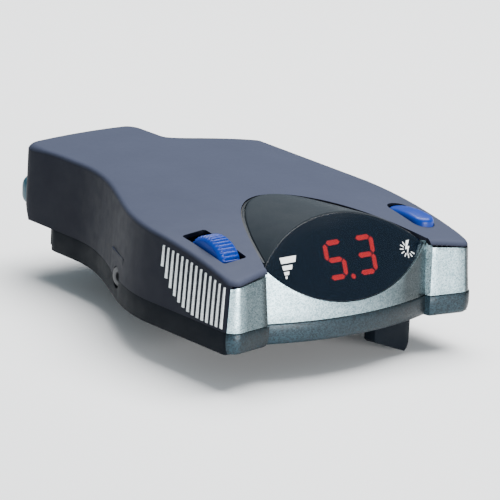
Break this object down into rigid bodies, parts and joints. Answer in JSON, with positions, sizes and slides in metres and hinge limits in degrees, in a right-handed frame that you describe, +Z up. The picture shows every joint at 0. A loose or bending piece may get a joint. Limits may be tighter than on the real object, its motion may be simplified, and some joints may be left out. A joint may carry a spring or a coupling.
{
  "type": "trailer brake controller",
  "caption": "Dash-mounted trailer brake controller with a hooded digital display, blue power wheel, boost button and manual lever under the front.",
  "frame": {"origin": "centre of the bounding box's underside", "axes": "+X to the right seen from the front, -Y out of the front face, +Z up"},
  "size_m": [0.105, 0.1583, 0.0506],
  "materials": {
    "cover_grey": "slate grey, fine moulded texture, soft sheen",
    "silver": "silver metallic paint with a fine sparkle over plastic",
    "case_black": "matte black moulded plastic",
    "flake_grey": "dark metallic flake paint",
    "hood_dark": "dark grey-green semi-gloss",
    "rubber_black": "black rubber",
    "lens_smoke": "smoked glossy lens",
    "mark_white": "printed white",
    "led_black": "black display housing",
    "led_red": "lit red segments",
    "board_green": "green solder mask",
    "cable_white": "flat flexible cable",
    "chip_black": "moulded chip package",
    "can_blue": "sleeved capacitor",
    "sensor_grey": "dark grey plastic",
    "aluminium": "extruded aluminium",
    "steel": "plain steel",
    "blue": "vivid blue gloss plastic",
    "silicone": "translucent grey silicone",
    "teal": "teal plastic",
    "brass": "tinned brass"
  },
  "bodies": {
    "chassis": {"upper_cover": "cover_grey", "front_bezel": "silver", "lower_case": "case_black", "lower_front_trim": "flake_grey", "display_hood": "hood_dark", "hood_gasket": "rubber_black", "display_lens": "lens_smoke", "lens_marks": "mark_white", "led_display": "led_black", "led_segments": "led_red", "display_board": "board_green", "display_cable": "cable_white", "main_board": "board_green", "control_chip": "chip_black", "capacitors": "can_blue", "inertia_sensor": "sensor_grey", "heat_sink": "aluminium", "power_transistors": "chip_black", "transistor_screws": "steel", "wheel_sensor": "sensor_grey", "boost_dome": "silicone", "boost_switch": "sensor_grey", "boost_board": "board_green", "lever_clip": "steel", "lever_spring": "steel", "hall_sensor": "chip_black", "grip_ribs_left": "silver", "grip_ribs_right": "silver", "mount_bushing_left": "sensor_grey", "mount_bushing_right": "sensor_grey", "rear_inlet": "teal", "inlet_blades": "brass", "case_screws": "steel", "board_screws": "steel"},
    "wheel": {"power_wheel": "blue", "wheel_shaft": "steel"},
    "boost": {"boost_button": "blue"},
    "lever": {"manual_lever": "case_black", "lever_magnet": "steel"}
  },
  "joints": [
    {"name": "power_turn", "type": "hinge", "parent": "chassis", "child": "wheel", "pos_m": [-0.0409, -0.05235, 0.03512], "axis": [1, 0, 0], "range_deg": [-135, 135]},
    {"name": "boost_press", "type": "slide", "parent": "chassis", "child": "boost", "axis": [0, 0, -1], "range_m": [0, 0.001], "stiffness_N_per_m": 600, "springref_m": -0.0008, "deforming": ["boost_dome"]},
    {"name": "lever_swing", "type": "hinge", "parent": "chassis", "child": "lever", "pos_m": [0, 0.01715, 0.0144], "axis": [0, 0, -1], "range_deg": [0, 27], "stiffness_Nm_per_rad": 0.15, "springref_deg": -5.73}
  ]
}
